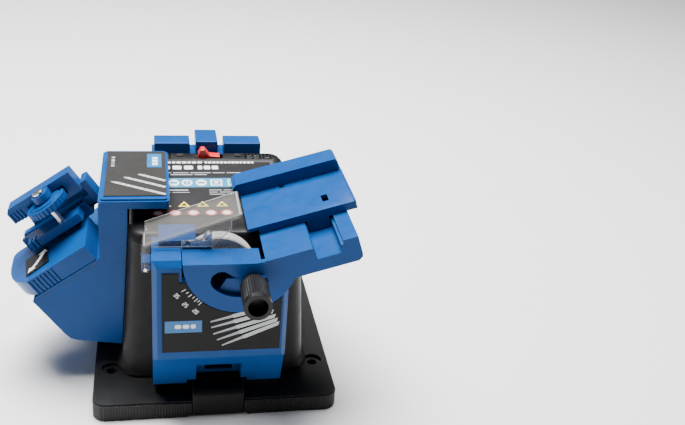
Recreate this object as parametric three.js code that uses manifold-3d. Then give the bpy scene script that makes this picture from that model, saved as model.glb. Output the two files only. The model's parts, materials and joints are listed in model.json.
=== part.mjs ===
// Bench sharpening station: a black motor tower on a base plate, a grinding wheel on
// a horizontal shaft, and three clip-on attachments (chisel in front, drill at the
// left, knife behind). Millimetres, +Z up, origin at the centre of the base underside.
import * as THREE from 'three';
import { mergeVertices } from 'three/addons/utils/BufferGeometryUtils.js';
import Module from 'manifold-3d';

const wasm = await Module();
wasm.setup();

// ---- driving dimensions ----
const GAP = 0.3;                                   // clearance between neighbouring pieces
const BASE = { halfX: 82.5, halfY: 94.3, top: 12.4, corner: 9.4 };
const TOWER = { footX: 63.8, topX: 57.2, front: -61.6, back: 61.3, lean: 1.4, wall: 2.6 };
const ROOF = { front: 121.6, break: -37, rear: 131.3, rearY: 61.3, edge: 6, lid: 6 };
const AXIS_Z = 101.4;                              // height of the motor shaft
const WHEEL = { radius: 25, front: -75.5, width: 10, bore: 8 };
const CHISEL = { left: -42.6, right: 43.6, face: -98.4, back: -62.8, bottom: 17.8, top: 121 };
const PIVOT = { x: 12.5, z: 121.5, radius: 36.3 }; // tilt axis of the sector table
const TABLE = { face: -100.2, plate: 4, flat: 120.3, tilt: 16, floorX: 19.4, floorZ: 125.6 };
const KNOB = { x: 20.3, z: 105.7, radius: 9, front: -129, back: -100.9 };
const HOOD = { front: -80.9, back: -44, slope: 19.4, skin: 1.6, hingeX: -46.4, hingeZ: 107.4 };
const DRILL = { front: -43, back: 44.8, foot: -63.7, inner: -57.9, column: -76.6, capEdge: -30.4 };
const SWING = { x: -86, z: 105, slope: 34.4, skirt: 12.2, pinS: -10, pinY: 0 };
const SCREW = { s: -14, y: -6, wheel: 15 };           // clamp screw, in the platform's own frame
const KNIFE = { halfX: 42, front: 63.4, back: 92, bottom: 17.8, floor: 126 };
const LATCH = { half: 17.3, depth: 17.8, top: 20, centre: 0.4 };
const HOLE = { x: 71.3, y: 51.3, radius: 3.4 };

// ---- materials ----
const paint = (color, roughness, metalness = 0) =>
  new THREE.MeshStandardMaterial({ color, roughness, metalness });
const BLUE = paint(0x0d6fc4, 0.38);
const BLACK = paint(0x1b1b1c, 0.55);
const LABEL = paint(0x3c3d40, 0.5);
const SMOKE = paint(0x9a948c, 0.2);
const STEEL = paint(0xb9bbbd, 0.35, 1);
const RUBBER = paint(0x141414, 0.9);
const RED = paint(0xe0372f, 0.4);
const COPPER = paint(0xb06a3a, 0.4, 1);
const ABRASIVE = paint(0xa9a39a, 0.85);
const BRASS = paint(0xb8954a, 0.35, 1);
const BOARD = paint(0x2f6b45, 0.6);
const CARBON = paint(0x2a2a2a, 0.8);
const GREY_PLASTIC = paint(0x9fa3a6, 0.6);

// ---- geometry helpers ----
function solid(geometry) {
  const bare = geometry.clone();
  bare.deleteAttribute('normal');
  bare.deleteAttribute('uv');
  const merged = mergeVertices(bare, 1e-5);
  return new wasm.Manifold(new wasm.Mesh({
    numProp: 3,
    vertProperties: new Float32Array(merged.attributes.position.array),
    triVerts: new Uint32Array(merged.index.array),
  }));
}

function toGeometry(manifold) {
  const mesh = manifold.getMesh();
  const geometry = new THREE.BufferGeometry();
  geometry.setAttribute('position', new THREE.BufferAttribute(new Float32Array(mesh.vertProperties), 3));
  geometry.setIndex(new THREE.BufferAttribute(new Uint32Array(mesh.triVerts), 1));
  geometry.computeVertexNormals();
  return geometry;
}

function piece(parent, name, manifold, material) {
  const mesh = new THREE.Mesh(toGeometry(manifold), material);
  mesh.name = name;
  parent.add(mesh);
  return mesh;
}

const union = (...parts) => parts.reduce((whole, part) => whole.add(part));
const cut = (whole, ...tools) => tools.reduce((rest, tool) => rest.subtract(tool), whole);
const radians = (degrees) => degrees * Math.PI / 180;

function box(x0, x1, y0, y1, z0, z1) {
  const geometry = new THREE.BoxGeometry(x1 - x0, y1 - y0, z1 - z0);
  return solid(geometry.translate((x0 + x1) / 2, (y0 + y1) / 2, (z0 + z1) / 2));
}

function cylinderY(radius, y0, y1, x, z, segments = 32) {
  const geometry = new THREE.CylinderGeometry(radius, radius, y1 - y0, segments);
  return solid(geometry.translate(x, (y0 + y1) / 2, z));
}

function cylinderZ(radius, z0, z1, x, y, segments = 24) {
  const geometry = new THREE.CylinderGeometry(radius, radius, z1 - z0, segments).rotateX(Math.PI / 2);
  return solid(geometry.translate(x, y, (z0 + z1) / 2));
}

// A solid of revolution about a shaft along Y: profile holds [radius, y] pairs.
function turnedY(profile, x, z, segments = 40) {
  const points = profile.map(([radius, y]) => new THREE.Vector2(radius, y));
  return solid(new THREE.LatheGeometry(points, segments).translate(x, 0, z));
}

function outline(points) {
  const shape = new THREE.Shape();
  points.forEach(([a, b], i) => (i ? shape.lineTo(a, b) : shape.moveTo(a, b)));
  return shape;
}

function extrude(shape, depth, curveSegments = 6) {
  return new THREE.ExtrudeGeometry(shape, { depth, bevelEnabled: false, curveSegments });
}

// Outline in X and Z, pushed along Y from y0 to y1.
const extrudeY = (shape, y0, y1, curveSegments) =>
  solid(extrude(shape, y1 - y0, curveSegments).rotateX(Math.PI / 2).translate(0, y1, 0));

// Outline in X and Y, pushed along Z from z0 to z1.
const extrudeZ = (shape, z0, z1, curveSegments) =>
  solid(extrude(shape, z1 - z0, curveSegments).translate(0, 0, z0));

// Outline in Y and Z, pushed along X from x0 to x1.
function extrudeX(shape, x0, x1) {
  const turn = new THREE.Matrix4().set(0, 0, 1, 0, 1, 0, 0, 0, 0, 1, 0, 0, 0, 0, 0, 1);
  return solid(extrude(shape, x1 - x0).applyMatrix4(turn).translate(x0, 0, 0));
}

function roundedRectangle(x0, x1, y0, y1, radius) {
  const shape = new THREE.Shape();
  shape.moveTo(x0 + radius, y0);
  shape.lineTo(x1 - radius, y0);
  shape.absarc(x1 - radius, y0 + radius, radius, -Math.PI / 2, 0);
  shape.lineTo(x1, y1 - radius);
  shape.absarc(x1 - radius, y1 - radius, radius, 0, Math.PI / 2);
  shape.lineTo(x0 + radius, y1);
  shape.absarc(x0 + radius, y1 - radius, radius, Math.PI / 2, Math.PI);
  shape.lineTo(x0, y0 + radius);
  shape.absarc(x0 + radius, y0 + radius, radius, Math.PI, Math.PI * 1.5);
  return shape;
}

// A closed skin through rings of equal length whose points mirror in X, so that each
// end closes with strips across the body.
function loft(rings) {
  const count = rings[0].length;
  const half = count / 2;
  const faces = [];
  const at = (ring, i) => ring * count + (i % count);
  for (let r = 0; r + 1 < rings.length; r += 1) {
    for (let i = 0; i < count; i += 1) {
      faces.push(at(r, i), at(r, i + 1), at(r + 1, i + 1), at(r, i), at(r + 1, i + 1), at(r + 1, i));
    }
  }
  const last = rings.length - 1;
  for (let i = 0; i < half; i += 1) {
    const a = [i, i + 1, count - i - 1, (count - i) % count];
    faces.push(at(0, a[0]), at(0, a[2]), at(0, a[1]), at(0, a[0]), at(0, a[3]), at(0, a[2]));
    faces.push(at(last, a[0]), at(last, a[1]), at(last, a[2]), at(last, a[0]), at(last, a[2]), at(last, a[3]));
  }
  const whole = [];
  for (let i = 0; i < faces.length; i += 3) {
    const [a, b, c] = faces.slice(i, i + 3);
    if (a !== b && b !== c && a !== c) whole.push(a, b, c);
  }
  const geometry = new THREE.BufferGeometry();
  geometry.setAttribute('position', new THREE.Float32BufferAttribute(rings.flat(2), 3));
  geometry.setIndex(whole);
  return solid(geometry);
}

// ---- tower ----
const roofHeight = (y) => (y < ROOF.break ? ROOF.front
  : ROOF.front + (ROOF.rear - ROOF.front) * (y - ROOF.break) / (ROOF.rearY - ROOF.break));

// Rounded plan ring of the tower; height may vary with y.
function towerRing(halfX, front, back, radius, height) {
  const steps = 6;
  const side = [[0, front]];
  for (let i = 0; i <= steps; i += 1) {
    const t = Math.PI / 2 * i / steps;
    side.push([halfX - radius + radius * Math.sin(t), front + radius - radius * Math.cos(t)]);
  }
  side.push([halfX, ROOF.break]);
  for (let i = 0; i <= steps; i += 1) {
    const t = Math.PI / 2 * i / steps;
    side.push([halfX - radius + radius * Math.cos(t), back - radius + radius * Math.sin(t)]);
  }
  side.push([0, back]);
  const mirrored = side.slice(1, -1).reverse().map(([x, y]) => [-x, y]);
  return [...side, ...mirrored].map(([x, y]) => [x, y, height(y)]);
}

function towerSolid(inset, drop, bottom) {
  const level = (t, flare = 0) => {
    const halfX = TOWER.footX + (TOWER.topX - TOWER.footX) * t - inset + flare;
    const lean = TOWER.lean * t;
    const radius = 14 - 4 * t - inset / 2 + flare;
    return [halfX, TOWER.front + lean + inset - flare, TOWER.back - lean - inset + flare, radius];
  };
  const rings = [];
  if (inset === 0) {
    rings.push(towerRing(...level(0, 3), () => bottom));
    rings.push(towerRing(...level(0, 1), () => bottom + 1.2));
    rings.push(towerRing(...level(0.02, 0), () => bottom + 4));
  } else {
    rings.push(towerRing(...level(0), () => bottom));
  }
  for (const turn of [0, 30, 60, 90]) {
    const pull = ROOF.edge * (1 - Math.cos(radians(turn)));
    const below = ROOF.edge * (1 - Math.sin(radians(turn)));
    const [halfX, front, back, radius] = level(1);
    rings.push(towerRing(halfX - pull, front + pull / 2, back - pull / 2, radius - pull / 2,
      (y) => roofHeight(y) - drop - below));
  }
  return loft(rings);
}

// Everything above the roof line lowered by drop, as wide as the tower.
function aboveRoof(drop) {
  return extrudeX(outline([
    [-90, ROOF.front - drop], [ROOF.break, ROOF.front - drop],
    [90, roofHeight(90) - drop], [90, 190], [-90, 190],
  ]), -75, 75);
}

// Everything below the roof line raised by rise: the room that the tower top takes.
function belowRoof(rise) {
  return extrudeX(outline([
    [-61, 60], [90, 60], [90, roofHeight(90) + rise],
    [ROOF.break, ROOF.front + rise], [-61, ROOF.front + rise],
  ]), -TOWER.topX - 1, TOWER.topX + 1);
}

function buildTower(station) {
  const shell = cut(towerSolid(0, 0, BASE.top + GAP), towerSolid(TOWER.wall, 3, BASE.top - 1));
  let housing = cut(shell, aboveRoof(ROOF.lid + GAP), cylinderY(9, -70, -50, 0, AXIS_Z, 24),
    cylinderY(6.2, 50, 70, 52, 24, 20));
  for (const sx of [-1, 1]) {
    for (const sy of [-1, 1]) {
      const x = 49 * sx;
      const y = 47 * sy;
      const post = union(cylinderZ(5, BASE.top + GAP, 40, x, y, 16),
        box(Math.min(x, 61 * sx), Math.max(x, 61 * sx), y - 1.5, y + 1.5, BASE.top + GAP, 40));
      housing = cut(housing.add(post.intersect(towerSolid(1, 3, BASE.top + GAP))),
        cylinderZ(2.4, 0, 36, x, y, 12));
    }
  }
  for (let i = 0; i < 6; i += 1) {
    const y = 12 + i * 7;
    housing = cut(housing, box(50, 70, y, y + 3, 34, 62));
  }
  piece(station, 'tower_housing', housing, BLACK);

  let lid = shell.intersect(aboveRoof(ROOF.lid));
  lid = cut(lid, box(-9.4, 11, 48.8, 58.9, 110, 150), box(-46, 46, -34, 42.5, 121, 140)
    .intersect(aboveRoof(0.5)));
  for (const side of [-1, 1]) {
    for (let i = 0; i < 24; i += 1) {
      const x = side * (28.5 + (i % 8) * 2.75);
      const y = 49.2 + Math.floor(i / 8) * 3.1;
      lid = cut(lid, box(x - 0.85, x + 0.85, y - 0.95, y + 0.95, 110, 150));
    }
  }
  piece(station, 'top_cover', lid, BLACK);
  const label = box(-45.6, 45.6, -33.6, 42.1, 110, 150).intersect(
    cut(aboveRoof(0.2), aboveRoof(-0.3)));
  piece(station, 'rating_label', label, LABEL);
}

function buildBase(station) {
  const plan = roundedRectangle(-BASE.halfX, BASE.halfX, -BASE.halfY, BASE.halfY, BASE.corner);
  const inner = roundedRectangle(-BASE.halfX + 1.2, BASE.halfX - 1.2, -BASE.halfY + 1.2,
    BASE.halfY - 1.2, BASE.corner - 1.2);
  let plate = union(extrudeZ(plan, 0, BASE.top - 1.2), extrudeZ(inner, BASE.top - 1.3, BASE.top));
  const clear = LATCH.half + 0.5;
  const slot = box(-clear, clear, -1, LATCH.depth + 1.6, -1, 20);
  const nick = (x) => extrudeY(outline([[x - 3, -1], [x + 3, -1], [x, 3]]), -1, 2);
  const latchCut = union(slot, nick(-clear), nick(clear));
  plate = cut(plate,
    latchCut.translate([LATCH.centre, -BASE.halfY, 0]),
    latchCut.rotate([0, 0, -90]).translate([-BASE.halfX, 0.9, 0]),
    latchCut.rotate([0, 0, 180]).translate([-LATCH.centre, BASE.halfY, 0]));
  for (const sx of [-1, 1]) {
    for (const sy of [-1, 1]) {
      const x = HOLE.x * sx;
      const y = HOLE.y * sy;
      plate = cut(plate, cylinderZ(HOLE.radius, -1, 20, x, y, 16),
        cylinderZ(6.6, BASE.top - 2.4, 20, x, y, 24), cylinderZ(9.3, -1, 2.3, 66 * sx, 78 * sy, 24),
        cylinderZ(4.2, -1, 4, 49 * sx, 47 * sy, 16), cylinderZ(2.4, 3, 20, 49 * sx, 47 * sy, 12));
    }
  }
  piece(station, 'base_plate', plate, BLACK);
  const corners = { front_left: [-1, -1], front_right: [1, -1], rear_left: [-1, 1], rear_right: [1, 1] };
  for (const [corner, [sx, sy]] of Object.entries(corners)) {
    piece(station, `foot_pad_${corner}`, cylinderZ(9, 0, 2, 66 * sx, 78 * sy, 24), RUBBER);
    const screw = union(cylinderZ(3.8, 0.6, 3.6, 49 * sx, 47 * sy, 12),
      cylinderZ(2, 3.5, 30, 49 * sx, 47 * sy, 10));
    piece(station, `base_screw_${corner}`, screw, STEEL);
  }
}

// A sprung catch: outer face at y = 0, standing above the plate edge.
function latchSolid(depth) {
  const shape = outline([
    [0, 0.6], [0, 16.8], [1, 18.8], [3.2, LATCH.top], [depth - 2, LATCH.top],
    [depth, 18], [depth, 9], [12, 9], [12, 0.6],
  ]);
  return extrudeX(shape, -LATCH.half, LATCH.half);
}

function buildLatches(station) {
  const places = [
    ['front_latch', LATCH.centre, -BASE.halfY, 0, LATCH.depth],
    ['left_latch', -BASE.halfX, 0.9, -90, LATCH.depth - 2.8],
    ['rear_latch', -LATCH.centre, BASE.halfY, 180, LATCH.depth],
  ];
  for (const [name, x, y, turn, depth] of places) {
    const holder = new THREE.Group();
    holder.position.set(x, y, 0);
    holder.rotation.z = radians(turn);
    piece(holder, name, latchSolid(depth), BLACK);
    station.add(holder);
  }
}

// ---- motor and spindle ----
function buildMotor(station) {
  const motor = new THREE.Group();
  motor.position.set(0, 0, AXIS_Z);
  station.add(motor);
  const ring = (name, inner, outer, y0, y1, material, segments = 32) => piece(motor, name,
    turnedY([[inner, y0], [outer, y0], [outer, y1], [inner, y1], [inner, y0]], 0, 0, segments), material);
  ring('stator_stack', 13, 18.6, -12, 26, STEEL);
  ring('front_bearing', 3.4, 8, -50, -44, STEEL, 24);
  ring('rear_bearing', 3.4, 8, 42, 48, STEEL, 24);
  ring('rotor_stack', 3.4, 12.4, -10, 24, COPPER, 24);
  ring('commutator', 3.4, 7.6, 28, 36, COPPER, 24);
  const frame = (y0, y1) => {
    const plate = box(-20, 20, y0, y1, -17, 15);
    return cut(plate, cylinderY(8.3, y0 - 1, y1 + 1, 0, 0, 24));
  };
  piece(motor, 'front_end_frame', frame(-49.5, -44.5), BLACK);
  piece(motor, 'rear_end_frame', frame(42.5, 47.5), BLACK);
  piece(motor, 'drive_shaft', union(cylinderY(3, -79.5, 52, 0, 0, 20), cylinderY(3.2, -62, -56, 0, 0, 20)), STEEL);
  let fan = cylinderY(6, -38, -28, 0, 0, 24).add(cylinderY(16, -30, -28, 0, 0, 24));
  for (let i = 0; i < 8; i += 1) {
    fan = fan.add(box(5, 15.5, -37, -29.5, -0.7, 0.7).rotate([0, 45 * i, 0]));
  }
  piece(motor, 'cooling_fan', cut(fan, cylinderY(3.4, -40, -20, 0, 0, 20)), BLACK);
  for (const [name, side] of [['brush_left', -1], ['brush_right', 1]]) {
    piece(motor, name, box(Math.min(8 * side, 15 * side), Math.max(8 * side, 15 * side), 29, 35, -2.5, 2.5), CARBON);
  }
  const hub = turnedY([[3.4, -76], [7.6, -76], [7.6, -65.2], [13, -65.2], [13, -63.2], [3.4, -63.2],
    [3.4, -76]], 0, 0);
  piece(motor, 'wheel_flange', hub, STEEL);
  const back = WHEEL.front + WHEEL.width;
  const wheel = turnedY([[WHEEL.bore, WHEEL.front + 2], [13, WHEEL.front + 2], [15, WHEEL.front],
    [WHEEL.radius - 1, WHEEL.front], [WHEEL.radius, WHEEL.front + 1], [WHEEL.radius, back - 1],
    [WHEEL.radius - 1, back - 0.1], [WHEEL.bore, back - 0.1], [WHEEL.bore, WHEEL.front + 2]], 0, 0, 64);
  piece(motor, 'grinding_wheel', wheel, ABRASIVE);
  const nut = cut(cylinderY(6.4, -79.2, -76.3, 0, 0, 6), cylinderY(3.4, -90, -70, 0, 0, 20));
  piece(motor, 'wheel_nut', nut, STEEL);
  const cradle = cut(box(-20, 20, -4, 18, BASE.top + GAP - AXIS_Z, -6), cylinderY(19, -20, 40, 0, 0, 32),
    box(-14, 14, -10, 30, -80, -26));
  piece(motor, 'motor_cradle', cradle, BLACK);
}

function buildElectrics(station) {
  piece(station, 'circuit_board', box(24, 50, -38, 24, 26, 27.6), BOARD);
  piece(station, 'terminal_block', box(30, 46, -34, -22, 28, 38), GREY_PLASTIC);
  piece(station, 'cable_gland', turnedY([[0, 54], [5.4, 54], [5.4, 61.4], [7.6, 61.4], [7.6, 65], [4.6, 74],
    [0, 74]], 52, 24, 24), RUBBER);
  const body = cut(box(-9, 10.4, 49.2, 63, 106, 128), box(-8.1, 9.7, 50, 62, 122, 140));
  piece(station, 'switch_body', body.intersect(towerSolid(TOWER.wall + 0.3, 1, 20)), BLACK);
  const key = outline([[-7.4, 127.2], [0.8, 125.3], [9, 127.2], [9, 130.8], [1.2, 131.4], [-2.6, 136.4],
    [-5.6, 136], [-7.4, 132.4]]);
  piece(station, 'switch_rocker', extrudeY(key, 50.3, 58.2), RED);
}

// ---- chisel attachment ----
function arcPoints(cx, cz, radius, from, to, steps) {
  return Array.from({ length: steps + 1 }, (_, i) => {
    const a = radians(from + (to - from) * i / steps);
    return [cx + radius * Math.cos(a), cz + radius * Math.sin(a)];
  });
}

function sectorWedge(radius, from, to, y0, y1) {
  const rim = arcPoints(PIVOT.x, PIVOT.z, radius, from, to, 10);
  return extrudeY(outline([[PIVOT.x, PIVOT.z], ...rim]), y0, y1);
}

function buildChiselBody(group) {
  const { left, right, face, back, bottom, top } = CHISEL;
  const side = outline([[-80.1, bottom], [-91.5, 46], [face, 50.3], [face, 117.4], [-95, top],
    [back, top], [back, bottom]]);
  let body = extrudeX(side, left, right);
  const chamfer = (x, sign) => extrudeZ(outline([[x, face - 1], [x - sign * 4, face - 1], [x, face + 3.4]]), 0, 150);
  body = cut(body, chamfer(left - 0.1, -1), chamfer(right + 0.1, 1));
  body = cut(body, box(left + 3, right - 3, face + 3, back + 1, 53, 117.5),
    box(left + 3, right - 3, -77, back + 1, 0, 53.5));
  body = cut(body, box(-24.4, 60, -105, back + 1, 107.6, 130));
  body = union(body, box(-17, 19, -78, -71.8, 21.8, 40.5), box(left + 2.9, right - 2.9, -96, -92.4, 82, 107.6));
  body = cut(body, cylinderY(PIVOT.radius + 0.5, -105, -95.9, PIVOT.x, PIVOT.z, 64),
    sectorWedge(PIVOT.radius + 0.5, 176, 238, -97, -79));
  body = cut(body, box(-14.2, 16.1, -100, -74.2, 0, 37.5), box(-20, 20.6, -95, back + 1, 0, 21.4));
  const shelf = union(box(-37.6, -27, -76, back, 105, 124.8), box(-38, -14.6, -76, -52.6, 122.3, 124.8));
  body = union(body, shelf, box(-48.6, left + 1, -77, -66, 104.6, 110.2));
  body = cut(body, box(-8, 11, -80, -70, 24, 29.5), cylinderY(1.5, -90, -50, HOOD.hingeX, HOOD.hingeZ, 16),
    cylinderY(3.3, -100, -80, KNOB.x, KNOB.z, 20), box(-46, -41, -120, -97.5, 118, 125));
  piece(group, 'chisel_body', body, BLUE);

  const plate = cut(box(-36.6, 39.2, face - 0.7, face - GAP, 55.8, 107), cylinderY(PIVOT.radius + 1, -105, -95,
    PIVOT.x, PIVOT.z, 64), box(-24.5, 60, -105, -95, 107.4, 130));
  const upper = box(-36.6, -26, face - 0.7, face - GAP, 106, 113.6);
  piece(group, 'chisel_label', cut(union(plate, upper), cylinderY(PIVOT.radius + 1, -105, -95, PIVOT.x,
    PIVOT.z, 64)), LABEL);
}

// Outline of the table arm in the tilted frame: along the slope and away from it.
const ARM = { start: 6.6, slotLeft: 38.5, slotRight: 54.3, end: 66.8, top: -5.9, floor: -14.2, under: -23.2 };

function armOutline() {
  return [[ARM.start, ARM.under], [64, ARM.under], [66.8, -21.4], [67.4, -19], [ARM.end, ARM.top],
    [56.8, ARM.top], [56.6, -8.6], [55, -8.6], [ARM.slotRight, ARM.floor], [ARM.slotLeft, ARM.floor],
    [ARM.slotLeft - 0.6, -7], [37, ARM.top], [ARM.start, ARM.top]];
}

function tilted(manifold) {
  return manifold.rotate([0, -TABLE.tilt, 0]).translate([TABLE.floorX, 0, TABLE.floorZ]);
}

function buildTable(group) {
  const { face, plate, flat } = TABLE;
  const disc = cut(cylinderY(PIVOT.radius, face, face + plate, PIVOT.x, PIVOT.z, 72),
    box(-60, 90, -120, -60, flat, 170));
  const arm = tilted(extrudeY(outline(armOutline()), face, face + plate));
  const corner = extrudeY(outline([[PIVOT.x, flat - 12], [50, 111], [50, 126], [21.8, flat + 0.1],
    [PIVOT.x, flat]]), face, face + plate);
  let table = union(disc, arm, corner);
  const top = box(-24, 25, face + 1, -79.6, flat - 3, flat).intersect(
    cylinderY(PIVOT.radius, -110, -70, PIVOT.x, PIVOT.z, 72));
  table = table.add(top);
  let deep = tilted(extrudeY(outline(armOutline()), face + 1, CHISEL.back + 1));
  deep = cut(deep, box(0, 25.6, -79.4, -50, 90, 140), box(0, 24.4, -97, -79.3, 90, 140),
    box(0, 60, -96.2, -50, 60, 108.4));
  const hollow = tilted(union(
    box(0, ARM.slotLeft - 4, face + plate, -40, ARM.under + 3, ARM.top - 3),
    box(ARM.slotLeft - 5, 63, face + plate, -40, ARM.under + 3, ARM.floor - 3)));
  table = table.add(cut(deep, hollow));
  const rail = tilted(extrudeY(outline(armOutline()), CHISEL.back, 2));
  table = table.add(cut(rail, box(-10, 58.9, -70, 30, 60, 170),
    tilted(box(0, 62, CHISEL.back - 5, 30, ARM.under + 3, ARM.floor - 3))));
  const track = 18.2;
  const width = 7;
  const slot = [...arcPoints(PIVOT.x, PIVOT.z, track + width, -132, -56, 12),
    ...arcPoints(PIVOT.x + track * Math.cos(radians(-56)), PIVOT.z + track * Math.sin(radians(-56)),
      width, -56, 124, 8).slice(1, -1),
    ...arcPoints(PIVOT.x, PIVOT.z, track - width, -56, -132, 8),
    ...arcPoints(PIVOT.x + track * Math.cos(radians(-132)), PIVOT.z + track * Math.sin(radians(-132)),
      width, 48, 228, 8).slice(1, -1)];
  table = cut(table, extrudeY(outline(slot), -105, -90));
  piece(group, 'tilt_table', table, BLUE);
}

function buildCarriage(group) {
  const near = -63.6;
  const length = 74;
  let body = union(box(0, length, near, 8, -2.4, 0), box(7, length, near, near + 2.4, ARM.top + GAP, 0),
    box(ARM.slotLeft + 0.5, ARM.slotRight - 0.5, near, 1.5, ARM.floor + 0.4, -1),
    box(length - 1.2, length, near, -11, -1, 0.7));
  const fence = extrudeY(outline([[-4, -2.4], [70.5, -2.4], [72.5, 1], [72.5, 7.4], [70.8, 9.4], [-1, 9.4],
    [-4, 7]]), -11.3, 8.2);
  body = cut(body.add(fence), box(53, 57.4, -52.4, -42.8, -30, 5), box(28, 31.4, -14.6, -11.4, -30, 1));
  body = cut(tilted(body), belowRoof(0.9));
  piece(group, 'chisel_carriage', body, BLUE);
}

function buildClamp(group) {
  const flutes = 34;
  const rim = Array.from({ length: flutes * 2 }, (_, i) => {
    const a = Math.PI * i / flutes;
    const r = KNOB.radius - (i % 2 ? 0.55 : 0);
    return [KNOB.x + r * Math.cos(a), KNOB.z + r * Math.sin(a)];
  });
  const grip = cut(extrudeY(outline(rim), KNOB.front + 4, KNOB.back - 2),
    cylinderY(3.4, KNOB.back - 10, KNOB.back, KNOB.x, KNOB.z, 20));
  const collar = cylinderY(KNOB.radius - 0.2, KNOB.front, KNOB.front + 4.2, KNOB.x, KNOB.z, 40);
  const base = cylinderY(KNOB.radius - 1.2, KNOB.back - 2.2, KNOB.back, KNOB.x, KNOB.z, 32);
  const knob = cut(union(grip, collar, base), cylinderY(6.3, KNOB.front - 1, KNOB.front + 9, KNOB.x, KNOB.z, 32),
    cylinderY(3.4, KNOB.back - 10, KNOB.back + 1, KNOB.x, KNOB.z, 20));
  piece(group, 'clamp_knob', knob, BLACK);
  const stud = union(cylinderY(3, -110, -92, KNOB.x, KNOB.z, 20), cylinderY(5.6, -92.1, -88.5, KNOB.x, KNOB.z, 6));
  piece(group, 'clamp_stud', stud, STEEL);
}

function buildHood(group) {
  const { front, back, slope, skin, hingeX, hingeZ } = HOOD;
  const rise = Math.tan(radians(slope));
  const topAt = (x) => 124 + (x + 45) * rise;
  const leftX = -48;
  const rightX = 14;
  const lid = extrudeY(outline([[leftX, topAt(leftX) - skin], [rightX, topAt(rightX) - skin],
    [rightX, topAt(rightX)], [leftX, topAt(leftX)]]), front, back);
  const wall = extrudeY(outline([[-41, 122.4], [-4.2, 122.4], [0.2, 128], [7.6, 135], [7.6, topAt(7.6) - 1],
    [-41, topAt(-41) - 1]]), front, front + skin);
  const ear = (y) => extrudeY(outline([[leftX, topAt(leftX) - 1], [-49.2, 118], [-49.2, 107],
    ...arcPoints(hingeX, hingeZ, 2.9, 200, 350, 6), [-43.4, 120], [-42.6, topAt(-42.6) - 1]]), y, y + skin);
  const skirt = box(leftX, leftX + skin, front, back, 117.5, topAt(leftX) - 0.6);
  const rib = extrudeY(outline([[leftX, topAt(leftX) - 0.4], [rightX, topAt(rightX) - 0.4],
    [rightX, topAt(rightX) + 0.9], [leftX, topAt(leftX) + 0.9]]), front, front + 3);
  const hood = cut(union(lid, wall, ear(front), ear(-65.6), skirt, rib),
    cylinderY(1.5, -90, -50, hingeX, hingeZ, 16), belowRoof(0.4),
    cylinderY(16, -62.4, -40, hingeX, hingeZ, 32));
  piece(group, 'hood', hood, SMOKE);
  piece(group, 'hood_pin', cylinderY(1.15, -82.4, -63.4, hingeX, hingeZ, 16), STEEL);
}

function buildBracket(group) {
  const ear = outline([[-24, 118.4], [-4.6, 118.4], [-4.6, 129], ...arcPoints(-6.9, 130, 2.3, 0, 180, 6),
    [-10.4, 126.6], [-16.8, 125.6], [-24, 125.6]]);
  const plate = cut(extrudeY(ear, -77.6, -76.3), cylinderY(1, -80, -70, -6.9, 130, 12),
    cylinderY(1.9, -80, -70, -9.4, 123.6, 16), cylinderY(1.7, -80, -70, -20, 123.6, 16));
  piece(group, 'guard_bracket', plate, STEEL);
  const bolt = union(cylinderY(1.6, -79, -75.9, -9.4, 123.6, 16), cylinderY(3.1, -79.1, -77.9, -9.4, 123.6, 20));
  piece(group, 'bracket_bolt', bolt, STEEL);
}

function buildChiselAttachment(station) {
  const group = new THREE.Group();
  station.add(group);
  buildChiselBody(group);
  buildTable(group);
  buildCarriage(group);
  buildClamp(group);
  buildHood(group);
  buildBracket(group);
}

// ---- drill attachment ----
function buildDrillBody(group) {
  const { front, back, foot, inner, column, capEdge } = DRILL;
  const belly = [[foot, 27.2], [-93, 31.4], [-98, 33], [-101.6, 36.6], [-121.4, 63.4], [-120.8, 65.8]];
  const shape = outline([...belly, [column, 95.9], [column, 134], [inner, 134], [inner, 123.7]]);
  const roof = roundedRectangle(column, capEdge, front, back, 3);
  const crown = roundedRectangle(column + 1.6, capEdge - 1.6, front + 1.6, back - 1.6, 2);
  let body = union(extrudeY(shape, front, back), extrudeZ(roof, 131.8, 137),
    extrudeZ(crown, 136.9, 138.2));
  const core = outline([[inner + 1, 30.4], [-92.6, 34.4], [-99.4, 38.4], [-117.8, 63.6], [-73.6, 94.2],
    [-73.6, 131], [inner + 1, 131]]);
  body = cut(body, extrudeY(core, front + 3, back - 3));
  const pinHole = cylinderZ(4.4, -30, 10, SWING.pinS, SWING.pinY, 24);
  body = cut(body, swingPlaced(pinHole), box(-80, -70, -13, 21, 104, 131));
  piece(group, 'drill_body', body, BLUE);
  piece(group, 'drill_label', box(-73, -32.4, -37.2, 40.8, 138.2 + GAP, 138.9), LABEL);
}

function swingPlaced(manifold) {
  return manifold.rotate([0, -SWING.slope, 0]).translate([SWING.x, 0, SWING.z]);
}

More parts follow.
